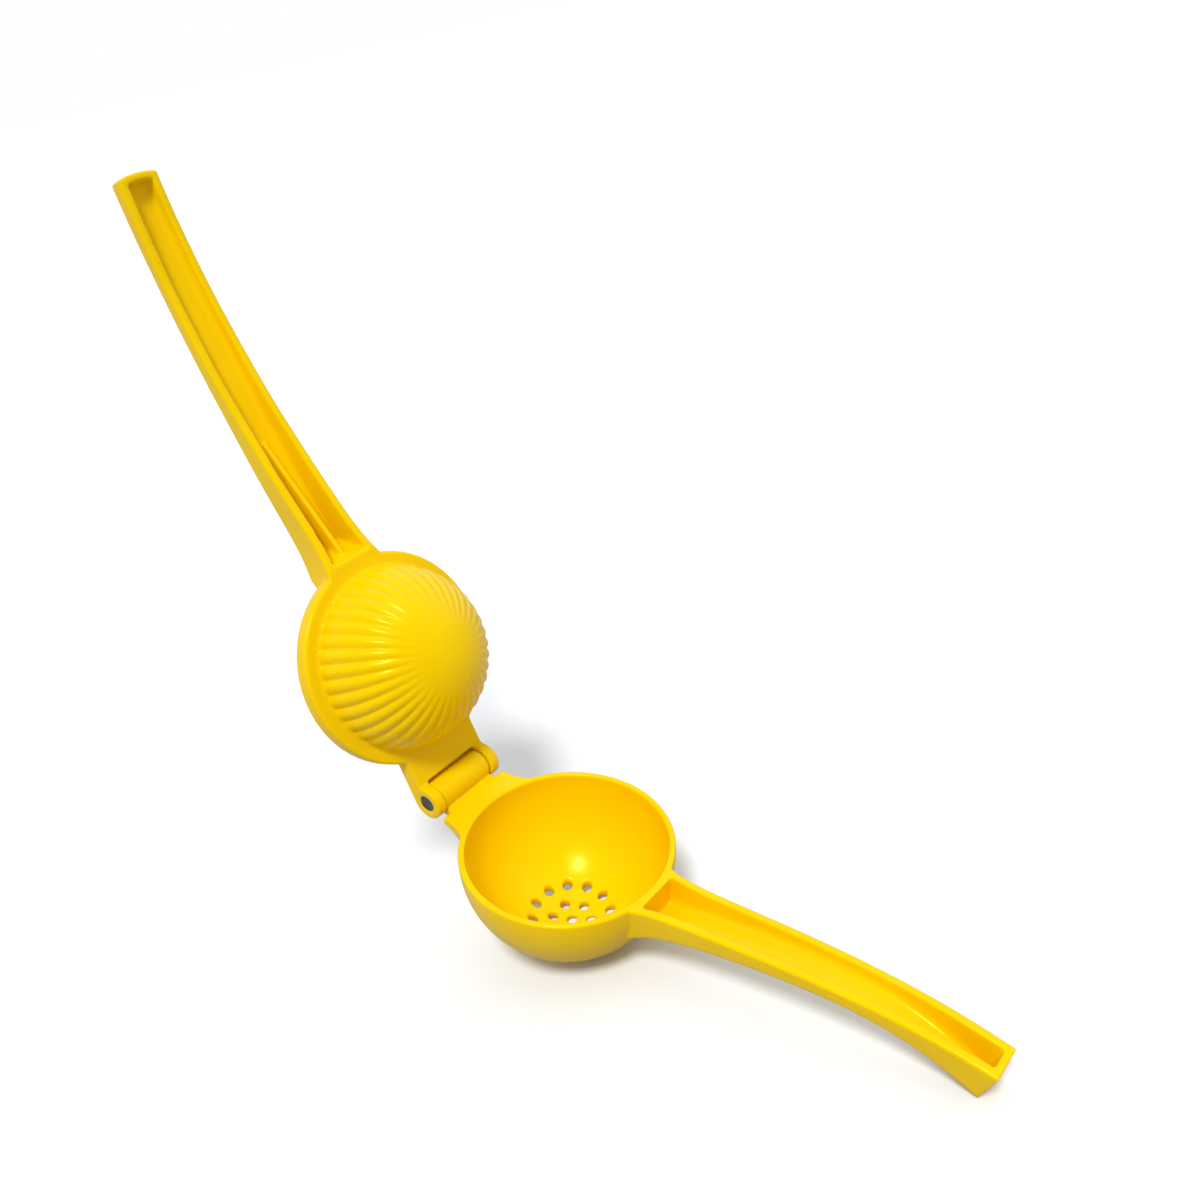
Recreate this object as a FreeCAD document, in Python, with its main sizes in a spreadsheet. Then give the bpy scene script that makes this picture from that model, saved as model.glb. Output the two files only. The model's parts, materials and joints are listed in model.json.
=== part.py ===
import FreeCAD, Part
import math
import os
import Sketcher

# Citrus press: a round bowl and a ribbed plunger, each cast in one piece with its channel handle,
# joined by a steel pin.  Millimetres, +Z up.  The origin is the middle of the small flat under the
# bowl, where the press stands; +X runs towards the end of the bowl's handle, +Y across the hinge.
#
# Both arms are drawn in the "arm frame": the press closed, the bowl's rim in the plane z = 0, the
# bowl's axis on z and the hinge at -x.  Their placements then tip the bowl's handle down to the
# table and swing the plunger's arm open.

doc = FreeCAD.newDocument("citrus_press")
sheet = doc.addObject("Spreadsheet::Sheet", "Sheet")

DIMENSIONS = [
    # the hinge
    ("hinge_x", -47.6, "hinge axis behind the bowl's axis"),
    ("hinge_z", 2.5, "hinge axis above the bowl's rim"),
    ("open_angle", 115.8, "swing of the plunger's arm from closed to its stop"),
    ("pin_radius", 2.8, "hinge pin"),
    ("pin_press", 0.01, "how much smaller the ears' bore is"),
    ("pin_clearance", 0.05, "radial clearance in the barrel"),
    ("pin_chamfer", 0.35, "chamfer at each end of the pin"),
    ("ear_radius", 5.85, "rounded ears of the plunger's arm"),
    ("ear_thickness", 3.9, "each ear"),
    ("hinge_half_width", 15.0, "hinge axis middle to an ear's outer face"),
    ("barrel_radius", 5.2, "barrel of the bowl's arm"),
    ("barrel_gap", 0.25, "side gap between barrel and ear"),
    # the bowl
    ("rim_radius", 35.0, "outside of the bowl's rim"),
    ("bowl_inner_radius", 32.8, "inside of the bowl's rim"),
    ("bowl_straight", 2.5, "straight wall below the rim"),
    ("bowl_depth_inside", 34.6, "rim to the bottom inside"),
    ("rim_round", 0.6, "rounding of the rim's edges"),
    ("foot_radius", 11.0, "flat the bowl stands on"),
    ("drain_radius", 1.7, "drain holes"),
    ("drain_ring_inner", 6.5, "circle of the inner drain holes"),
    ("drain_ring_outer", 13.0, "circle of the outer drain holes"),
    ("tip_slant", 5.6, "how far the end of the bowl's handle leans in over its depth"),
    ("tip_bow", 1.5, "how far the plunger's handle end is drawn back at its sides"),
    ("tip_bow_radius", 28.0, "curve of that end"),
    ("tip_pitch", 11.65, "how far the bowl's handle tips down to the table"),
    # hinge tab of the bowl
    ("tab_half_width", 14.8, "bowl's tab at its end"),
    ("tab_root_half_width", 17.5, "bowl's tab at the rim"),
    ("tab_thickness", 5.0, "bowl's tab"),
    ("tab_end_x", -40.6, "end of the bowl's tab beside the barrel"),
    # the plunger's flange and dome
    ("flange_z", 1.8, "underside of the flange when closed"),
    ("flange_thickness", 5.9, "flange"),
    ("flange_radius", 35.2, "flange"),
    ("flange_round", 0.9, "rounding of the flange's edges"),
    ("dome_radius", 30.7, "dome"),
    ("dome_rise", 2.2, "dome's centre above the flange's underside"),
    ("dome_wall", 3.4, "wall of the hollow dome"),
    ("rib_arc", 3.0, "radius of each rounded rib"),
    ("rib_half_pitch", 2.50, "half of the rib spacing at the dome's foot"),
    ("rib_depth", 1.32, "depth of a valley at the dome's foot"),
    ("rib_fade", 1.28, "shift that runs the valleys out before the pole"),
    ("end_wall_slope", 4.2, "lean of the plunger channel's end wall, per 10 mm of depth"),
    ("gusset_thickness", 1.8, "web in the plunger's channel beside the flange"),
    ("gusset_reach", 44.0, "length of the web"),
    ("gusset_low", 4.3, "height of the web's edge at the channel's end wall"),
    ("gusset_high", 19.2, "height where the web's edge meets the channel's floor"),
    ("plunger_tab_end_x", -41.1, "end of the plunger's tab between the ears"),
    # both channel handles
    ("wall", 2.6, "handle walls"),
    ("floor", 2.5, "handle floors"),
    ("first_station", 28.0, "first section of both handles, from the bowl's axis"),
    ("lower_step", 17.0, "between sections of the bowl's handle"),
    ("upper_step", 17.625, "between sections of the plunger's handle"),
    ("channel_start", 35.6, "end wall of both channels beside the bowl and the flange"),
    ("lower_tip", 146.2, "end of the bowl's handle"),
    ("upper_tip", 168.0, "end of the plunger's handle"),
    ("tip_wall", 2.3, "end wall of both channels at the tip"),
    ("draft", 0.08, "taper of the walls, per millimetre of depth"),
    ("edge_round", 0.9, "rounding of the handles' upper edges"),
    ("back_round", 2.2, "rounding of the handles' backs"),
    ("channel_round", 2.2, "rounding between a channel's floor and walls"),
]

# Evenly spaced stations along each handle: half width, height of the channel's edge in the arm
# frame, and depth of the handle below that edge (bowl's arm) or above it (plunger's arm).
LOWER_STATIONS = [
    (13.6, -0.95, 16.5),
    (9.1, 1.25, 10.65),
    (8.3, 3.5, 8.3),
    (7.85, 5.75, 7.05),
    (7.4, 7.5, 6.5),
    (6.95, 8.35, 7.05),
    (6.45, 7.95, 10.25),
    (6.05, 5.9, 15.6),
]
UPPER_STATIONS = [
    (13.2, -0.6, 16.2),
    (8.85, 4.6, 13.7),
    (8.45, 9.2, 11.5),
    (8.15, 13.1, 9.5),
    (7.95, 16.1, 7.8),
    (7.75, 18.05, 6.75),
    (7.5, 18.9, 6.3),
    (7.25, 18.5, 6.5),
    (7.0, 16.8, 7.2),
]
STATIONS = {"lower": LOWER_STATIONS, "upper": UPPER_STATIONS}
RIB_COUNT = 38


class Dim:
    """A number together with the sheet formula it comes from."""

    def __init__(self, value, formula=None):
        self.value = float(value)
        self.formula = formula or repr(float(value))

    def join(self, other, sign, result):
        other = as_dim(other)
        return Dim(result(self.value, other.value), "(%s %s %s)" % (self.formula, sign, other.formula))

    def __add__(self, other):
        return self.join(other, "+", lambda a, b: a + b)

    def __sub__(self, other):
        return self.join(other, "-", lambda a, b: a - b)

    def __mul__(self, other):
        return self.join(other, "*", lambda a, b: a * b)

    def __neg__(self):
        return Dim(-self.value, "(0 - %s)" % self.formula)


def as_dim(number):
    return number if isinstance(number, Dim) else Dim(number)


row = 0


def store(alias, value, note=""):
    """Puts one driving dimension in the sheet."""
    global row
    row += 1
    sheet.set("A%d" % row, alias)
    sheet.set("B%d" % row, repr(value))
    sheet.set("C%d" % row, note)
    sheet.setAlias("B%d" % row, alias)
    return Dim(value, "Sheet." + alias)


D = {alias: store(alias, value, note) for alias, value, note in DIMENSIONS}
for side, stations in STATIONS.items():
    for number, values in enumerate(stations):
        for what, value in zip(("half", "edge", "deep"), values):
            alias = "%s_%s_%d" % (side, what, number)
            D[alias] = store(alias, value)
doc.recompute()


# ---------------------------------------------------------------- helpers

def plane_of(body, role):
    return next(f for f in body.Origin.OriginFeatures if f.Role == role)


def new_body(name):
    body = doc.addObject("PartDesign::Body", name)
    body.Label = name
    return body


def new_sketch(body, name, role, offset=None):
    sketch = body.newObject("Sketcher::SketchObject", name)
    sketch.AttachmentSupport = [(plane_of(body, role), "")]
    sketch.MapMode = "FlatFace"
    if offset is not None:
        sketch.AttachmentOffset = offset
    return sketch


def bind(sketch, kind, geometry, point, dim):
    """Fixes one coordinate of a point, or one radius, to a sheet formula."""
    if kind == "Radius":
        index = sketch.addConstraint(Sketcher.Constraint("Radius", geometry, abs(dim.value)))
    elif dim.value == 0 and not dim.formula.startswith("("):
        axis = -2 if kind == "DistanceX" else -1
        sketch.addConstraint(Sketcher.Constraint("PointOnObject", geometry, point, axis))
        return
    else:
        index = sketch.addConstraint(Sketcher.Constraint(kind, -1, 1, geometry, point, dim.value))
    if not dim.formula[0].isdigit() and not dim.formula.startswith("-"):
        sketch.setExpression("Constraints[%d]" % index, dim.formula)


def arc_between(a, b, radius):
    """Arc from a to b that bulges to the right of that direction, or to the left when the radius is
    negative; drawn counter-clockwise.  Also tells whether it starts at a."""
    chord = b - a
    left = FreeCAD.Vector(-chord.y, chord.x, 0).normalize()
    inward = math.sqrt(max(radius * radius - chord.Length ** 2 / 4, 0))
    centre = (a + b) * 0.5 + left * math.copysign(inward, radius)
    whole = Part.Circle(centre, FreeCAD.Vector(0, 0, 1), abs(radius))
    from_a = math.atan2(a.y - centre.y, a.x - centre.x)
    from_b = math.atan2(b.y - centre.y, b.x - centre.x)
    forwards = radius > 0
    begin, end = (from_a, from_b) if forwards else (from_b, from_a)
    while end < begin:
        end += 2 * math.pi
    return Part.ArcOfCircle(whole, begin, end), forwards


def outline(sketch, points):
    """Closed outline.  A point is (x, y) or (x, y, radius): the edge after it is then an arc of that
    radius, bulging to the right of its direction, or to the left when the radius is negative."""
    count = len(points)
    flat = [(as_dim(p[0]), as_dim(p[1])) for p in points]
    first = sketch.GeometryCount
    ends = []
    for i, point in enumerate(points):
        a = FreeCAD.Vector(flat[i][0].value, flat[i][1].value, 0)
        b = FreeCAD.Vector(flat[(i + 1) % count][0].value, flat[(i + 1) % count][1].value, 0)
        if len(point) == 2:
            sketch.addGeometry(Part.LineSegment(a, b), False)
            ends.append((1, 2))
        else:
            arc, forwards = arc_between(a, b, as_dim(point[2]).value)
            sketch.addGeometry(arc, False)
            ends.append((1, 2) if forwards else (2, 1))
    for i in range(count):
        here, after = first + i, first + (i + 1) % count
        sketch.addConstraint(Sketcher.Constraint("Coincident", here, ends[i][1], after,
                                                 ends[(i + 1) % count][0]))
    for i, point in enumerate(points):
        bind(sketch, "DistanceX", first + i, ends[i][0], flat[i][0])
        bind(sketch, "DistanceY", first + i, ends[i][0], flat[i][1])
        if len(point) == 3:
            radius = as_dim(point[2])
            bind(sketch, "Radius", first + i, 0, radius if radius.value > 0 else -radius)


def circle(sketch, x, y, radius):
    x, y, radius = as_dim(x), as_dim(y), as_dim(radius)
    centre = FreeCAD.Vector(x.value, y.value, 0)
    index = sketch.addGeometry(Part.Circle(centre, FreeCAD.Vector(0, 0, 1), radius.value), False)
    bind(sketch, "DistanceX", index, 3, x)
    bind(sketch, "DistanceY", index, 3, y)
    bind(sketch, "Radius", index, 0, radius)


def check(body, name, grows=None, before=0.0):
    """Stops when a feature failed or did nothing."""
    doc.recompute()
    shape = body.Shape
    if shape.isNull() or not shape.isValid():
        raise RuntimeError("%s: bad shape" % name)
    if grows is True and shape.Volume <= before + 1e-3 or grows is False and shape.Volume >= before - 1e-3:
        raise RuntimeError("%s: changed nothing" % name)
    return shape.Volume


def feature(body, kind, name, profile, grows, **settings):
    """Adds a sketch-based feature; a value that is a Dim is bound to the sheet."""
    before = body.Shape.Volume if not body.Shape.isNull() else 0.0
    item = body.newObject("PartDesign::" + kind, name)
    if profile is not None:
        item.Profile = profile
    for key, value in settings.items():
        if isinstance(value, Dim):
            setattr(item, key, value.value)
            item.setExpression(key, value.formula)
        else:
            setattr(item, key, value)
    check(body, name, grows, before)
    return item


def round_edges(body, name, radius, choose):
    """Rounds the edges of the body's tip that the test picks."""
    tip = body.Tip
    names = ["Edge%d" % (i + 1) for i, edge in enumerate(tip.Shape.Edges) if choose(edge)]
    item = body.newObject("PartDesign::Fillet", name)
    item.Base = (tip, names)
    item.Radius = radius.value
    item.setExpression("Radius", radius.formula)
    doc.recompute()
    if not item.isValid() or item.Shape.isNull() or not item.Shape.isValid():
        raise RuntimeError("%s: rounding failed on %s" % (name, names))
    return item


def across(x):
    """Attachment offset of a sketch on the YZ plane moved out to x."""
    return FreeCAD.Placement(FreeCAD.Vector(0, 0, x), FreeCAD.Rotation())


def station(side, number):
    """Distance along the arm, half width, height of the edge and depth at one station."""
    along = D["first_station"] + D[side + "_step"] * number
    return [along] + [D["%s_%s_%d" % (side, what, number)] for what in ("half", "edge", "deep")]


def sections(body, side, down, wall, floor, lip, name):
    """Sketches of the handle's cross section at every station, set in by a wall and a floor."""
    result = []
    for number in range(len(STATIONS[side])):
        along, half, edge, deep = station(side, number)
        half, deep = half - wall, deep - floor
        foot = half - D["draft"] * deep
        back = edge - deep * down
        top = edge + lip * down
        sketch = new_sketch(body, "%s_%d" % (name, number), "YZ_Plane", across(along.value))
        sketch.setExpression(".AttachmentOffset.Base.z", along.formula)
        corners = [(-foot, back), (foot, back), (half, top), (-half, top)]
        outline(sketch, corners if down > 0 else corners[::-1])
        result.append(sketch)
    return result


def runs_along(edge):
    return edge.BoundBox.XLength > 90


def near_edge_of_handle(side, down):
    """Test for the two long edges beside the channel, as against those of the back."""
    _, _, rim, deep = station(side, 4)

    def test(edge):
        middle = edge.valueAt((edge.FirstParameter + edge.LastParameter) / 2)
        return runs_along(edge) and abs(middle.z - rim.value) < deep.value / 2 and abs(middle.y) > 6

    return test


def end_of(body, side, down, back_by, name):
    """Cuts the handle, or the space in it, to its end face: leaning on the bowl's arm, upright on
    the plunger's."""
    tip = D[side + "_tip"] - back_by
    _, _, edge, deep = station(side, len(STATIONS[side]) - 1)
    lean = D["tip_slant"] if down > 0 else D["tip_slant"] * 0
    sketch = new_sketch(body, name, "XZ_Plane")
    low, high = edge - deep * down, edge
    if down > 0:
        points = [(tip - lean * 1.3, low - 4.0), (tip + 15.0, low - 4.0), (tip + 15.0, high + 4.6),
                  (tip + lean * 0.3, high + 4.6)]
    else:
        points = [(tip, high - 5.0), (tip + 15.0, high - 5.0), (tip + 15.0, low + 5.0), (tip, low + 5.0)]
    outline(sketch, points)
    feature(body, "Pocket", name + "_cut", sketch, False, Type="ThroughAll", Midplane=True)
    if down < 0:
        bow = new_sketch(body, name + "_bow", "XY_Plane")
        corner = tip - D["tip_bow"]
        outline(bow, [(corner, -9.0, D["tip_bow_radius"]), (corner, 9.0), (tip + 15.0, 9.0),
                      (tip + 15.0, -9.0)])
        feature(body, "Pocket", name + "_bow_cut", bow, False, Type="ThroughAll", Midplane=True)


def channel_space(side, down):
    """The hollow of a handle, as a body to be cut from its arm."""
    body = new_body(side + "_channel_space")
    inside = sections(body, side, down, D["wall"], D["floor"], Dim(4.0), side + "_channel")
    feature(body, "AdditiveLoft", side + "_channel_loft", inside[0], True, Sections=inside[1:])
    start = new_sketch(body, side + "_channel_start", "XZ_Plane")
    slope = D["end_wall_slope"] if down < 0 else D["end_wall_slope"] * 0
    outline(start, [(D["first_station"] - 5.0, -40.0), (D["channel_start"] - slope * 4.0, -40.0),
                    (D["channel_start"] + slope * 4.0, 40.0), (D["first_station"] - 5.0, 40.0)])
    feature(body, "Pocket", side + "_channel_start_cut", start, False, Type="ThroughAll", Midplane=True)
    end_of(body, side, down, D["tip_wall"], side + "_channel_end")
    _, _, rim, deep = station(side, 4)

    def low_edge(edge):
        box = edge.BoundBox
        return box.XLength > 90 and (edge.CenterOfMass.z - rim.value) * down < 0

    round_edges(body, side + "_channel_rounding", D["channel_round"], low_edge)
    return body


def handle(body, side, down):
    """Tapered channel handle.  down is +1 when its back lies below its edge, -1 when above."""
    zero = Dim(0.0)
    outside = sections(body, side, down, zero, zero, zero, side + "_section")
    feature(body, "AdditiveLoft", side + "_handle", outside[0], True, Sections=outside[1:])
    end_of(body, side, down, zero, side + "_end")
    beside = near_edge_of_handle(side, down)
    round_edges(body, side + "_back_rounding", D["back_round"], lambda e: runs_along(e) and not beside(e))
    space = channel_space(side, down)
    before = body.Shape.Volume
    cut = body.newObject("PartDesign::Boolean", side + "_channel")
    cut.setObjects([space])
    cut.Type = "Cut"
    check(body, side + "_channel", False, before)
    round_edges(body, side + "_edge_rounding", D["edge_round"], beside)


PITCH = math.radians(D["tip_pitch"].value)
PITCH_SIN = Dim(math.sin(PITCH), "sin(Sheet.tip_pitch * 1 deg)")
PITCH_COS = Dim(math.cos(PITCH), "cos(Sheet.tip_pitch * 1 deg)")


def leg(long_side, short_side):
    """The third side of a right triangle, from its longest side and one other."""
    value = math.sqrt(long_side.value ** 2 - short_side.value ** 2)
    return Dim(value, "sqrt(%s * %s - %s * %s)" % (long_side.formula, long_side.formula,
                                                  short_side.formula, short_side.formula))


def revolved(body, kind, name, points, grows):
    sketch = new_sketch(body, name + "_outline", "XZ_Plane")
    outline(sketch, points)
    return feature(body, kind, name, sketch, grows, ReferenceAxis=(sketch, ["V_Axis"]), Angle=360.0)


def through_y(body, kind, name, points, grows, length=None):
    """Pads or cuts an outline drawn on the XZ plane, evenly to both sides of it."""
    sketch = new_sketch(body, name + "_outline", "XZ_Plane")
    outline(sketch, points)
    settings = {"Length": length} if length is not None else {"Type": "ThroughAll"}
    return feature(body, kind, name, sketch, grows, Midplane=True, **settings)


def disc_through_y(body, kind, name, x, z, radius, grows, length=None):
    sketch = new_sketch(body, name + "_circle", "XZ_Plane")
    circle(sketch, x, z, radius)
    settings = {"Length": length} if length is not None else {"Type": "ThroughAll"}
    return feature(body, kind, name, sketch, grows, Midplane=True, **settings)


def polar(body, name, original, count):
    pattern = body.newObject("PartDesign::PolarPattern", name)
    pattern.Originals = [original]
    pattern.Axis = (plane_of(body, "Z_Axis"), [""])
    pattern.Angle = 360.0
    pattern.Occurrences = count
    body.Tip = pattern
    doc.recompute()
    if not pattern.isValid() or not body.Shape.isValid():
        raise RuntimeError(name + ": the pattern failed")
    return pattern


# ---------------------------------------------------------------- the bowl and its handle

lower = new_body("lower_arm")
handle(lower, "lower", 1)

rim, rounding, straight = D["rim_radius"], D["rim_round"], D["bowl_straight"]
revolved(lower, "Revolution", "bowl", [
    (0, 0), (rim - rounding, 0, rounding * -1), (rim, -rounding), (rim, -straight, rim * -1),
    (0, -(straight + rim))], True)

# The tab reaches back from the rim; it is thin at its end and carries the barrel on a thicker web.
tab_end, tab_half = D["tab_end_x"], D["tab_half_width"]
tab_root = tab_end + 10.6
tab = new_sketch(lower, "tab_outline", "XY_Plane")
outline(tab, [(tab_end, -tab_half, -16.0), (tab_root, -D["tab_root_half_width"]),
              (tab_root, D["tab_root_half_width"], -16.0), (tab_end, tab_half)])
feature(lower, "Pad", "tab", tab, True, Length=D["tab_thickness"], Reversed=True)
through_y(lower, "Pocket", "tab_underside", [
    (tab_end - 1.0, -(D["tab_thickness"] * 0.4)), (tab_end - 1.0, -(D["tab_thickness"] * 2.0)),
    (-(rim + 0.05), -(D["tab_thickness"] * 2.0)), (-(rim + 0.05), -D["tab_thickness"])], False)
barrel_length = (D["hinge_half_width"] - D["ear_thickness"] - D["barrel_gap"]) * 2.0
hinge_x, hinge_z, barrel = D["hinge_x"], D["hinge_z"], D["barrel_radius"]
through_y(lower, "Pad", "barrel_web", [
    (-(rim - 1.5), 0), (hinge_x, 0), (hinge_x, hinge_z - barrel), (-(rim - 1.5), -D["tab_thickness"])],
    True, barrel_length)
disc_through_y(lower, "Pad", "barrel", hinge_x, hinge_z, barrel, True, barrel_length)

# The heel behind the barrel stops the plunger's arm: its face lies along the end of that arm's tab
# when the press is open, a hair below it.
OPEN = math.radians(D["open_angle"].value)
open_sin = Dim(math.sin(OPEN), "sin(Sheet.open_angle * 1 deg)")
open_cos = Dim(math.cos(OPEN), "cos(Sheet.open_angle * 1 deg)")


def open_point(outward, backward):
    """A point given by its distance from the hinge along the open arm and behind it."""
    outward, backward = as_dim(outward), as_dim(backward)
    return (hinge_x + outward * open_cos - backward * open_sin,
            hinge_z + outward * open_sin + backward * open_cos)


heel_face = D["plunger_tab_end_x"] - hinge_x - 0.08
through_y(lower, "Pad", "heel", [
    open_point(0.0, 0.5), open_point(heel_face, 3.0), open_point(heel_face, 6.0), open_point(1.5, 6.0)],
    True, barrel_length - 1.6)

inside = D["bowl_inner_radius"]
revolved(lower, "Groove", "bowl_hollow", [
    (0, 20.0), (0, -D["bowl_depth_inside"], inside), (inside, -straight), (inside, -rounding, rounding * -1),
    (inside + rounding, 0), (inside + rounding, 20.0)], False)

# Foot: a flat that lies on the table when the handle's end does too.
foot_depth = leg(rim, D["foot_radius"])


def foot_point(along, below):
    return (PITCH_COS * along + PITCH_SIN * (foot_depth + below),
            PITCH_SIN * along - PITCH_COS * (foot_depth + below) - straight)


through_y(lower, "Pocket", "foot_flat", [
    foot_point(-25.0, 0.0), foot_point(-25.0, 6.0), foot_point(25.0, 6.0), foot_point(25.0, 0.0)], False)

drain = new_sketch(lower, "drain_middle_circle", "XY_Plane")
circle(drain, 0, 0, D["drain_radius"])
feature(lower, "Pocket", "drain_middle", drain, False, Type="ThroughAll")
for ring, count in (("inner", 6), ("outer", 12)):
    turn = math.pi / count
    radius = D["drain_ring_" + ring]
    drain = new_sketch(lower, "drain_%s_circle" % ring, "XY_Plane")
    circle(drain, radius * math.cos(turn), radius * math.sin(turn), D["drain_radius"])
    first = feature(lower, "Pocket", "drain_" + ring, drain, False, Type="ThroughAll")
    polar(lower, "drain_%s_ring" % ring, first, count)
disc_through_y(lower, "Pocket", "barrel_bore", hinge_x, hinge_z, D["pin_radius"] + D["pin_clearance"], False)

# ---------------------------------------------------------------- the plunger and its handle

upper = new_body("upper_arm")
handle(upper, "upper", -1)
under, back = D["flange_z"], D["flange_z"] + D["flange_thickness"]
start = D["first_station"]
through_y(upper, "Pocket", "root_underside", [
    (start - 5.0, under - 12.0), (D["channel_start"] + 0.3, under - 12.0), (D["channel_start"] + 0.3, under),
    (start - 5.0, under)], False)
through_y(upper, "Pocket", "root_slope", [
    (start - 5.0, back), (start - 1.0, back), (D["channel_start"] + 0.2, back + 9.6),
    (D["channel_start"] + 0.2, back + 25.0), (start - 5.0, back + 25.0)], False)

web_start, web_end = D["channel_start"] - 1.0, D["channel_start"] + D["gusset_reach"]
through_y(upper, "Pad", "gusset", [
    (web_start, D["gusset_low"]), (web_end, D["gusset_high"]), (web_end, D["gusset_high"] + 1.6),
    (web_start + 24.0, D["gusset_high"] - 0.8), (web_start, D["gusset_high"] - 4.4)], True, D["gusset_thickness"])

# Flange and dome.  The dome is a ball whose centre lies a little above the flange's underside.
flange, edge = D["flange_radius"], D["flange_round"]
ball, centre = D["dome_radius"], under + D["dome_rise"]
revolved(upper, "Revolution", "plunger", [
    (0, back), (0, centre - ball, ball), (leg(ball, D["dome_rise"]), under), (flange - edge, under, edge),
    (flange, under + edge), (flange, back - edge, edge), (flange - edge, back)], True)

# Tab and ears.
tab_end, half = D["plunger_tab_end_x"], D["hinge_half_width"]
through_y(upper, "Pad", "tab", [
    (-(ball - 0.5), under), (-(ball - 0.5), back), (hinge_x, hinge_z + D["ear_radius"]), (hinge_x, under)],
    True, half * 2.0)
disc_through_y(upper, "Pad", "ears", hinge_x, hinge_z, D["ear_radius"], True, half * 2.0)
through_y(upper, "Pocket", "ear_gap", [
    (hinge_x - 12.0, hinge_z - 12.0), (tab_end, hinge_z - 12.0), (tab_end, hinge_z + 12.0),
    (hinge_x - 12.0, hinge_z + 12.0)], False, (half - D["ear_thickness"]) * 2.0)

# Hollow back of the plunger.
hollow = ball - D["dome_wall"]
mouth = leg(hollow, back - centre)
revolved(upper, "Groove", "plunger_hollow", [
    (0, back + 12.0), (0, centre - hollow, hollow), (mouth, back), (mouth, back + 12.0)], False)

# Ribs.  One valley between two rounded ribs follows a meridian of the dome; its path is centred a
# little nearer the pole than the dome is, so that it runs out before it gets there.
pitch, arc, depth = D["rib_half_pitch"], D["rib_arc"], D["rib_depth"]
path_z = centre - D["rib_fade"]
path = Dim(math.sqrt(ball.value ** 2 - D["rib_fade"].value ** 2),
           "sqrt(%s^2 - Sheet.rib_fade^2)" % ball.formula) - depth
tilt = math.degrees(math.asin((path_z.value - under.value + 0.7) / path.value))
valley = new_sketch(upper, "valley_outline", "XY_Plane",
                    FreeCAD.Placement(FreeCAD.Vector(0, 0, path_z.value),
                                      FreeCAD.Rotation(FreeCAD.Vector(0, 1, 0), tilt)))
valley.setExpression(".AttachmentOffset.Base.z", path_z.formula)
shoulder = path + arc - leg(arc, pitch)
outline(valley, [(path, 0, arc), (shoulder, pitch), (shoulder, -pitch, arc)])
groove = feature(upper, "Groove", "valley", valley, False, ReferenceAxis=(valley, ["V_Axis"]), Angle=75.0)
polar(upper, "ribs", groove, RIB_COUNT)

disc_through_y(upper, "Pocket", "ear_bore", hinge_x, hinge_z, D["pin_radius"] - D["pin_press"], False)

# ---------------------------------------------------------------- the pin

pin = new_body("hinge_pin")
shank = disc_through_y(pin, "Pad", "shank", hinge_x, hinge_z, D["pin_radius"], True, half * 2.0 - 0.1)
chamfer = pin.newObject("PartDesign::Chamfer", "pin_ends")
chamfer.Base = (shank, ["Edge%d" % (i + 1) for i, edge in enumerate(shank.Shape.Edges)
                        if edge.BoundBox.YLength < 0.01])
chamfer.Size = D["pin_chamfer"].value
chamfer.setExpression("Size", D["pin_chamfer"].formula)
check(pin, "pin_ends")

# ---------------------------------------------------------------- placing and writing

sideways = FreeCAD.Vector(0, 1, 0)
lift = foot_depth.value + PITCH_COS.value * straight.value
arm_frame = FreeCAD.Placement(FreeCAD.Vector(PITCH_SIN.value * straight.value, 0, lift),
                              FreeCAD.Rotation(sideways, D["tip_pitch"].value))
hinge = FreeCAD.Vector(hinge_x.value, 0, hinge_z.value)
swing = FreeCAD.Placement(FreeCAD.Vector(), FreeCAD.Rotation(sideways, -D["open_angle"].value), hinge)
lower.Placement = arm_frame
upper.Placement = arm_frame * swing
pin.Placement = arm_frame * swing
doc.recompute()

for item in doc.Objects:
    if "Invalid" in item.State or "Error" in item.State:
        raise RuntimeError("%s failed" % item.Label)
os.makedirs("parts", exist_ok=True)
for body in (lower, upper, pin):
    shape = body.Shape
    if shape.isNull() or not shape.isValid() or len(shape.Solids) != 1:
        raise RuntimeError("%s is not one sound solid" % body.Label)
    shape.exportStep("parts/%s.step" % body.Label)
    print("%-10s %7.0f mm3" % (body.Label, shape.Volume))
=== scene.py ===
import math

import bmesh
import bpy
import numpy as np
from mathutils import Matrix, Vector
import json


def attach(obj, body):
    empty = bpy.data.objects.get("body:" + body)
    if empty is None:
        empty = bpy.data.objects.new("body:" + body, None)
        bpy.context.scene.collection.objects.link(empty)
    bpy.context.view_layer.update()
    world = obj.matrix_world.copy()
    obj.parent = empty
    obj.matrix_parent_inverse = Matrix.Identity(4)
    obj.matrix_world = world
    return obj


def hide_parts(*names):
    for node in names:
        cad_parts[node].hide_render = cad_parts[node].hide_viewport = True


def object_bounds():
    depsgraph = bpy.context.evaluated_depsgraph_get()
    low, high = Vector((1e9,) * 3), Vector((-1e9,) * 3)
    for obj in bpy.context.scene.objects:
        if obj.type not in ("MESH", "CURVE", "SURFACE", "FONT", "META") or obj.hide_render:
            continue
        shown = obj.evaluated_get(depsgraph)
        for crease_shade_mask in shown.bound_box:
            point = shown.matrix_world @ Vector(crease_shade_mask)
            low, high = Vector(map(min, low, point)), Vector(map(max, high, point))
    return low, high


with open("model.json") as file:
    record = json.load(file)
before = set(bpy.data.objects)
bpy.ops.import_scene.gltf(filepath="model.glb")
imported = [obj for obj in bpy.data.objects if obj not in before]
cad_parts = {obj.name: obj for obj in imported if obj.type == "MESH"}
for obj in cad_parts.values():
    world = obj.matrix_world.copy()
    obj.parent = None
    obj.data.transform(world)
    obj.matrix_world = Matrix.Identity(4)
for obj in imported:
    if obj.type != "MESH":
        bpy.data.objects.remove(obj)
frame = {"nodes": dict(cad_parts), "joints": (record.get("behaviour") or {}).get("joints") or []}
cad_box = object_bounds()

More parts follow.
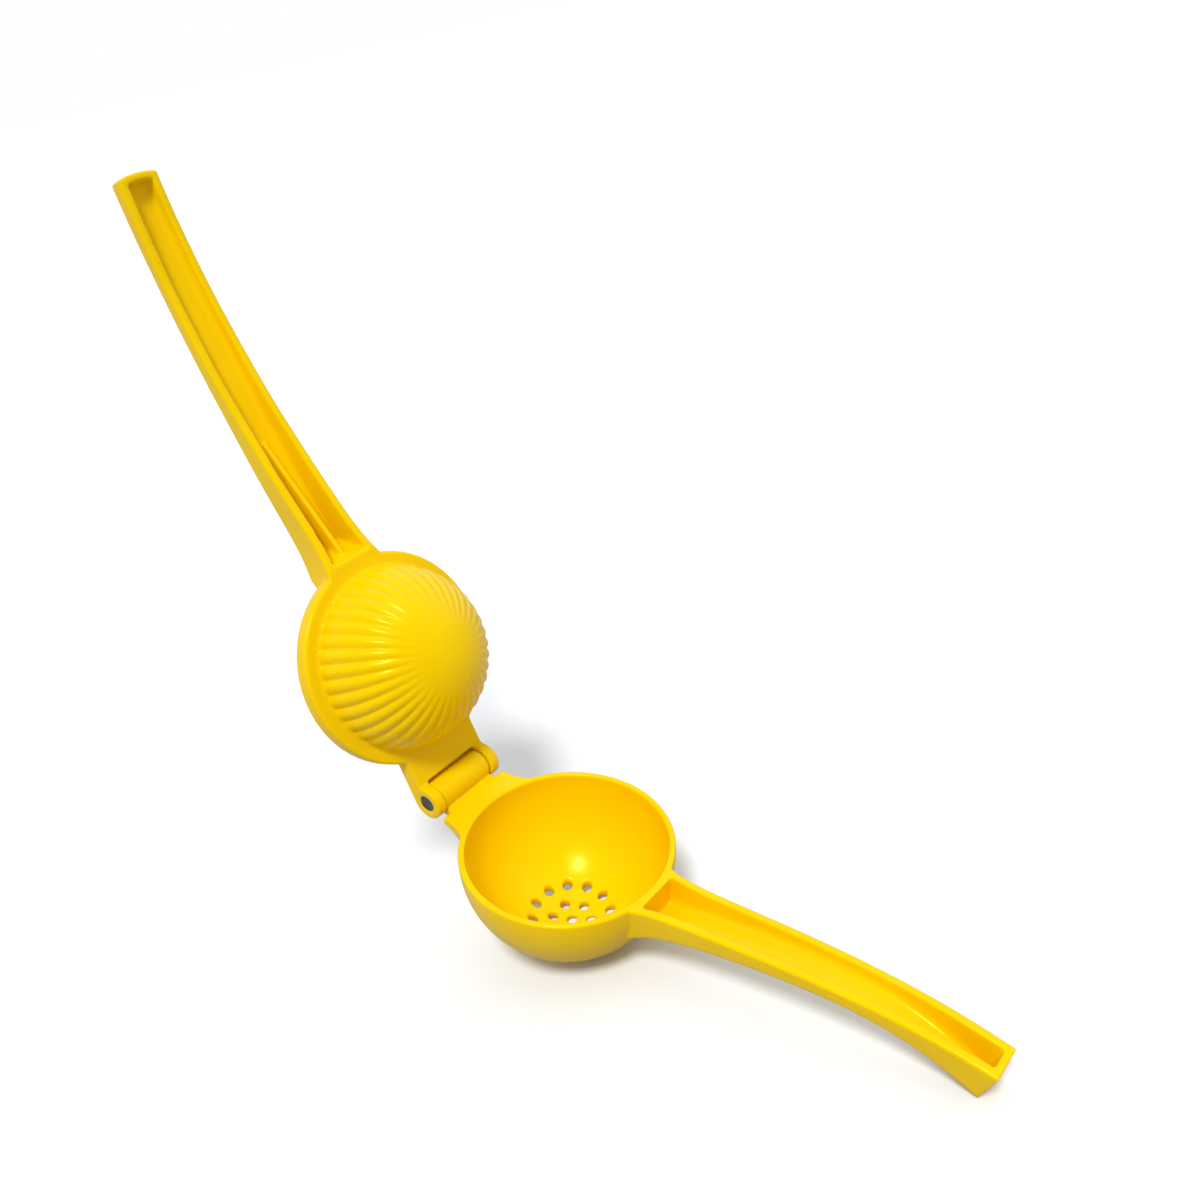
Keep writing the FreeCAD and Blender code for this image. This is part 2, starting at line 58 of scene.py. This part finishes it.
# Citrus press: two castings under a thick coat of yellow enamel, and the dark end of a steel pin.
# Lengths below are in millimetres and turned into metres with MM; angles are in degrees.

MM = 0.001
VOXEL = 0.42    # grid that the coat's skin is drawn on
PASSES = 8        # smoothing passes: how far the coat rounds the edges
BORE_RADIUS = 2.86                     # barrel under its coat, 0.06 more than the pin

TIP_PITCH = 11.65                      # how far the bowl's handle tips down to the table
DOME_FROM_HINGE = (47.6, 0.0, 1.5)     # the dome's middle from the hinge axis, press closed
DOME_RADIUS = 30.7                     # over the crests of the ribs
DOME_BASE = 85.9                       # from the pole to where the flange begins
RIB_COUNT = 38
RIB_DEPTH = 0.9                        # of a valley at the dome's foot
RIB_FADE = (14.0, 50.0)                # from the pole, where the valleys gain their depth
RIB_FOOT = 2.0                         # over which the ribs run into the flange's corner
RIBBED_SKIN = (29.9, 1.3)              # middle and half depth of the layer that the ribs lie in

FLOOR_SIDE = 40.0                      # metres
# Each lamp's bearing from the front, its height, its strength and how wide it looks.
LAMPS = {
    "key": (34.0, 57.0, 2.25, 14.0),
    "side": (-50.0, 34.0, 0.22, 45.0),
    "back": (172.0, 55.0, 0.85, 90.0),
}
SKY_LOW, SKY_HIGH = 0.58, 0.38         # strength near the horizon and overhead
SKY_BAND = (0.25, 0.6)                 # sines of the heights between which it falls

LOOK_AT = (38.67, 0.0, 130.22)
DISTANCE = 335.53
AZIMUTH, ELEVATION, ROLL = 44.196, 25.636, -12.57
LENS, SENSOR, CLIP_START = 37.53, 36.0, 10.0

scene = bpy.context.scene
scene.view_settings.view_transform = "Standard"


# ---------------------------------------------------------------- materials

class Nodes:
    """Short calls for building one material's nodes."""

    def __init__(self, name):
        self.material = bpy.data.materials.new(name)
        self.material.use_nodes = True
        self.tree = self.material.node_tree
        self.tree.nodes.clear()
        self.shader = self.add("ShaderNodeBsdfPrincipled")
        output = self.add("ShaderNodeOutputMaterial")
        self.tree.links.new(self.shader.outputs[0], output.inputs["Surface"])

    def add(self, kind, **settings):
        node = self.tree.nodes.new(kind)
        for key, value in settings.items():
            setattr(node, key, value)
        return node

    def feed(self, socket, value):
        """Gives an input a number or colour, or joins it to another node's output."""
        if isinstance(value, bpy.types.NodeSocket):
            self.tree.links.new(value, socket)
        else:
            socket.default_value = value

    def noise(self, scale, detail, roughness=0.5):
        node = self.add("ShaderNodeTexNoise")
        self.feed(node.inputs["Vector"], self.add("ShaderNodeTexCoord").outputs["Object"])
        self.feed(node.inputs["Scale"], scale)
        self.feed(node.inputs["Detail"], detail)
        self.feed(node.inputs["Roughness"], roughness)
        return node.outputs["Fac"]

    def between(self, value, low, high, out_low=0.0, out_high=1.0):
        node = self.add("ShaderNodeMapRange", interpolation_type="SMOOTHSTEP")
        self.feed(node.inputs["Value"], value)
        self.feed(node.inputs["From Min"], low)
        self.feed(node.inputs["From Max"], high)
        self.feed(node.inputs["To Min"], out_low)
        self.feed(node.inputs["To Max"], out_high)
        return node.outputs["Result"]

    def times(self, value, factor):
        node = self.add("ShaderNodeMath", operation="MULTIPLY")
        self.feed(node.inputs[0], value)
        self.feed(node.inputs[1], factor)
        return node.outputs[0]

    def blend(self, factor, first, second):
        node = self.add("ShaderNodeMix", data_type="RGBA")
        self.feed(node.inputs["Factor"], factor)
        self.feed(node.inputs["A"], first)
        self.feed(node.inputs["B"], second)
        return node.outputs["Result"]

    def bump(self, height, strength, distance, under=None):
        node = self.add("ShaderNodeBump")
        self.feed(node.inputs["Height"], height)
        self.feed(node.inputs["Strength"], strength)
        self.feed(node.inputs["Distance"], distance)
        if under is not None:
            self.feed(node.inputs["Normal"], under)
        return node.outputs["Normal"]


def linear(red, green, blue):
    """A colour given the way a colour picker shows it, from 0 to 255."""
    def channel(shown):
        value = shown / 255.0
        return value / 12.92 if value <= 0.04045 else ((value + 0.055) / 1.055) ** 2.4

    return (channel(red), channel(green), channel(blue), 1.0)


def enamel():
    """Thick glossy enamel: nearly even colour, with painted shade darkening it in concave corners,
    a faint flow and fine dust under the gloss."""
    lemon, deeper, painted_crease_shade = (0.92, 0.61, 0.0, 1.0), (0.89, 0.575, 0.0, 1.0), (0.74, 0.41, 0.0, 1.0)
    n = Nodes("enamel")
    drift = n.between(n.noise(26.0, 2.0), 0.35, 0.65)
    # Painted shade: concave corners, where pointiness is low, are mixed half way to a deep
    # orange-brown that stands in for the shade falling in them.
    crease_shade_mask = n.between(n.add("ShaderNodeNewGeometry").outputs["Pointiness"], 0.42, 0.50, 1.0, 0.0)
    colour = n.blend(n.times(crease_shade_mask, 0.5), n.blend(drift, lemon, deeper), painted_crease_shade)
    n.feed(n.shader.inputs["Base Color"], colour)
    smears = n.noise(60.0, 4.0, 0.6)
    n.feed(n.shader.inputs["Roughness"], n.between(smears, 0.3, 0.7, 0.26, 0.34))
    flow = n.bump(n.noise(110.0, 2.0), 0.10, 0.6 * MM)
    dust = n.bump(n.noise(900.0, 2.0), 0.05, 0.05 * MM, flow)
    n.feed(n.shader.inputs["Normal"], dust)
    n.shader.inputs["IOR"].default_value = 1.4
    n.shader.inputs["Specular Tint"].default_value = (1.0, 0.8, 0.05, 1.0)
    n.shader.inputs["Coat Weight"].default_value = 0.06
    n.shader.inputs["Coat Roughness"].default_value = 0.15
    return n.material


def pin_steel():
    """Cut end of a steel pin, dulled and a little uneven."""
    n = Nodes("pin_steel")
    worn = n.noise(900.0, 4.0, 0.6)
    colour = n.blend(n.between(worn, 0.35, 0.7), linear(112, 116, 112), linear(66, 69, 66))
    n.feed(n.shader.inputs["Base Color"], colour)
    n.feed(n.shader.inputs["Roughness"], n.between(worn, 0.3, 0.7, 0.28, 0.45))
    n.feed(n.shader.inputs["Normal"], n.bump(n.noise(2500.0, 2.0), 0.2, 0.05 * MM))
    n.shader.inputs["Metallic"].default_value = 1.0
    return n.material


def table_top():
    """Pale table that throws back less light than it shows, as a small one in a large room does."""
    shown, shown_too = (0.87, 0.89, 0.92, 1.0), (0.89, 0.91, 0.94, 1.0)
    thrown_back = (0.42, 0.42, 0.42, 1.0)
    n = Nodes("table_top")
    direct = n.add("ShaderNodeLightPath").outputs["Is Camera Ray"]
    colour = n.blend(direct, thrown_back, n.blend(n.noise(6.0, 2.0), shown, shown_too))
    n.feed(n.shader.inputs["Base Color"], colour)
    n.shader.inputs["Roughness"].default_value = 0.7
    n.shader.inputs["Specular IOR Level"].default_value = 0.1
    return n.material


# ---------------------------------------------------------------- the castings

def casting(name, node, body, material):
    """The CAD piece under a coat that runs round its edges and into its corners."""
    mesh = frame["nodes"][node].data.copy()
    piece = bpy.data.objects.new(name, mesh)
    scene.collection.objects.link(piece)
    mesh.materials.clear()
    bm = bmesh.new()
    bm.from_mesh(mesh)
    bmesh.ops.remove_doubles(bm, verts=bm.verts, dist=0.001 * MM)
    bm.to_mesh(mesh)
    bm.free()
    skin = piece.modifiers.new("skin", "REMESH")
    skin.mode = "VOXEL"
    skin.voxel_size = VOXEL * MM
    skin.use_smooth_shade = True
    flow = piece.modifiers.new("flow", "SMOOTH")
    flow.factor = 0.5
    flow.iterations = PASSES
    bpy.context.view_layer.update()
    coated = piece.evaluated_get(bpy.context.evaluated_depsgraph_get())
    shaped = bpy.data.meshes.new_from_object(coated)
    piece.modifiers.clear()
    piece.data = shaped
    shaped.name = name
    shaped.materials.clear()
    shaped.materials.append(material)
    shaped.polygons.foreach_set("use_smooth", [True] * len(shaped.polygons))
    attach(piece, body)
    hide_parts(node)
    return piece


def points(piece):
    """The places of a piece's vertices, one row each."""
    rows = np.empty(len(piece.data.vertices) * 3)
    piece.data.vertices.foreach_get("co", rows)
    return rows.reshape(-1, 3)


def move_points(piece, rows):
    piece.data.vertices.foreach_set("co", rows.ravel())
    piece.data.update()


def ease(value, low, high):
    """From 0 at low to 1 at high, level at both ends."""
    part = np.clip((value - low) / (high - low), 0, 1)
    return part * part * (3 - 2 * part)


def clear_bore(piece, joint):
    """Keeps the coat inside the barrel clear of the pin."""
    rows = points(piece)
    away = rows - np.array(joint["pos_m"])
    away[:, 1] = 0.0
    reach = np.linalg.norm(away, axis=1)
    near = (reach < BORE_RADIUS * MM) & (reach > 0)
    rows[near] += away[near] * (BORE_RADIUS * MM / reach[near] - 1)[:, None]
    move_points(piece, rows)


def crisp_ribs(piece, joint):
    """Draws the plunger's ribs afresh on the outside of the dome, round-topped with narrow valleys
    between them; they run out before the pole."""
    swing = math.radians(TIP_PITCH - joint["range_deg"][1])
    open_turn = Matrix.Rotation(swing, 3, "Y")
    pole = np.array(open_turn @ Vector((0, 0, -1)))
    ahead = np.array(open_turn @ Vector((1, 0, 0)))
    centre = np.array(Vector(joint["pos_m"]) + open_turn @ Vector(DOME_FROM_HINGE) * MM)

    out = points(piece) - centre
    radius = np.linalg.norm(out, axis=1)
    out /= radius[:, None]
    from_pole = np.degrees(np.arccos(np.clip(out @ pole, -1, 1)))
    around = np.arctan2(out[:, 1], out @ ahead)

    depth = RIB_DEPTH * np.sin(np.radians(from_pole)) * ease(from_pole, *RIB_FADE)
    valley = 1 - abs(np.sin(RIB_COUNT * around / 2))
    ribbed = (DOME_RADIUS - depth * valley) * MM
    middle, half_depth = RIBBED_SKIN
    on_dome = (abs(radius - middle * MM) < half_depth * MM) & (from_pole < DOME_BASE)
    radius += (ribbed - radius) * ease(from_pole, DOME_BASE, DOME_BASE - RIB_FOOT) * on_dome
    move_points(piece, centre + out * radius[:, None])


hinge = frame["joints"][0]
yellow = enamel()
clear_bore(casting("bowl_casting", "lower_arm", "bowl_arm", yellow), hinge)
crisp_ribs(casting("plunger_casting", "upper_arm", "plunger_arm", yellow), hinge)

pin = frame["nodes"]["hinge_pin"]
pin.data.materials.clear()
pin.data.materials.append(pin_steel())


# ---------------------------------------------------------------- table and light

def towards(azimuth, elevation):
    """Unit vector from the object: bearing from the front, turning to the right, and height."""
    bearing, height = math.radians(azimuth), math.radians(elevation)
    return Vector((math.sin(bearing) * math.cos(height), -math.cos(bearing) * math.cos(height),
                   math.sin(height)))


def floor():
    mesh = bpy.data.meshes.new("floor")
    corners = [(FLOOR_SIDE * x, FLOOR_SIDE * y, 0) for x, y in ((-1, -1), (1, -1), (1, 1), (-1, 1))]
    mesh.from_pydata(corners, [], [(0, 1, 2, 3)])
    ground = bpy.data.objects.new("floor", mesh)
    ground.location.z = cad_box[0].z
    scene.collection.objects.link(ground)
    mesh.materials.append(table_top())


def soft_lamp(name, azimuth, elevation, strength, width):
    """A large soft lamp far off."""
    lamp = bpy.data.lights.new(name, "SUN")
    lamp.energy = strength
    lamp.angle = math.radians(width)
    holder = bpy.data.objects.new(name, lamp)
    holder.rotation_euler = towards(azimuth, elevation).to_track_quat("Z", "Y").to_euler()
    scene.collection.objects.link(holder)


def studio():
    """Even pale surroundings, a little brighter low down, white where the camera sees them."""
    world = bpy.data.worlds.new("studio")
    scene.world = world
    world.use_nodes = True
    nodes, links = world.node_tree.nodes, world.node_tree.links
    height = nodes.new("ShaderNodeSeparateXYZ")
    links.new(nodes.new("ShaderNodeTexCoord").outputs["Generated"], height.inputs[0])
    fall = nodes.new("ShaderNodeMapRange")
    fall.interpolation_type = "SMOOTHSTEP"
    for socket, value in zip(("From Min", "From Max", "To Min", "To Max"),
                             (*SKY_BAND, SKY_LOW, SKY_HIGH)):
        fall.inputs[socket].default_value = value
    links.new(height.outputs["Z"], fall.inputs["Value"])
    strength = nodes.new("ShaderNodeMath")
    strength.operation = "MAXIMUM"
    links.new(nodes.new("ShaderNodeLightPath").outputs["Is Camera Ray"], strength.inputs[0])
    links.new(fall.outputs["Result"], strength.inputs[1])
    links.new(strength.outputs[0], nodes["Background"].inputs["Strength"])
    nodes["Background"].inputs["Color"].default_value = (1.0, 1.0, 1.0, 1.0)


floor()
for lamp_name, settings in LAMPS.items():
    soft_lamp(lamp_name, *settings)
studio()


# ---------------------------------------------------------------- camera

lens = bpy.data.cameras.new("camera")
lens.lens = LENS
lens.sensor_width = SENSOR
lens.clip_start = CLIP_START * MM
camera = bpy.data.objects.new("camera", lens)
back = towards(AZIMUTH, ELEVATION)
stand = Matrix.Translation((Vector(LOOK_AT) + back * DISTANCE) * MM)
aim = back.to_track_quat("Z", "Y").to_matrix().to_4x4()
camera.matrix_world = stand @ aim @ Matrix.Rotation(math.radians(ROLL), 4, "Z")
scene.collection.objects.link(camera)
scene.camera = camera

bpy.context.view_layer.update()
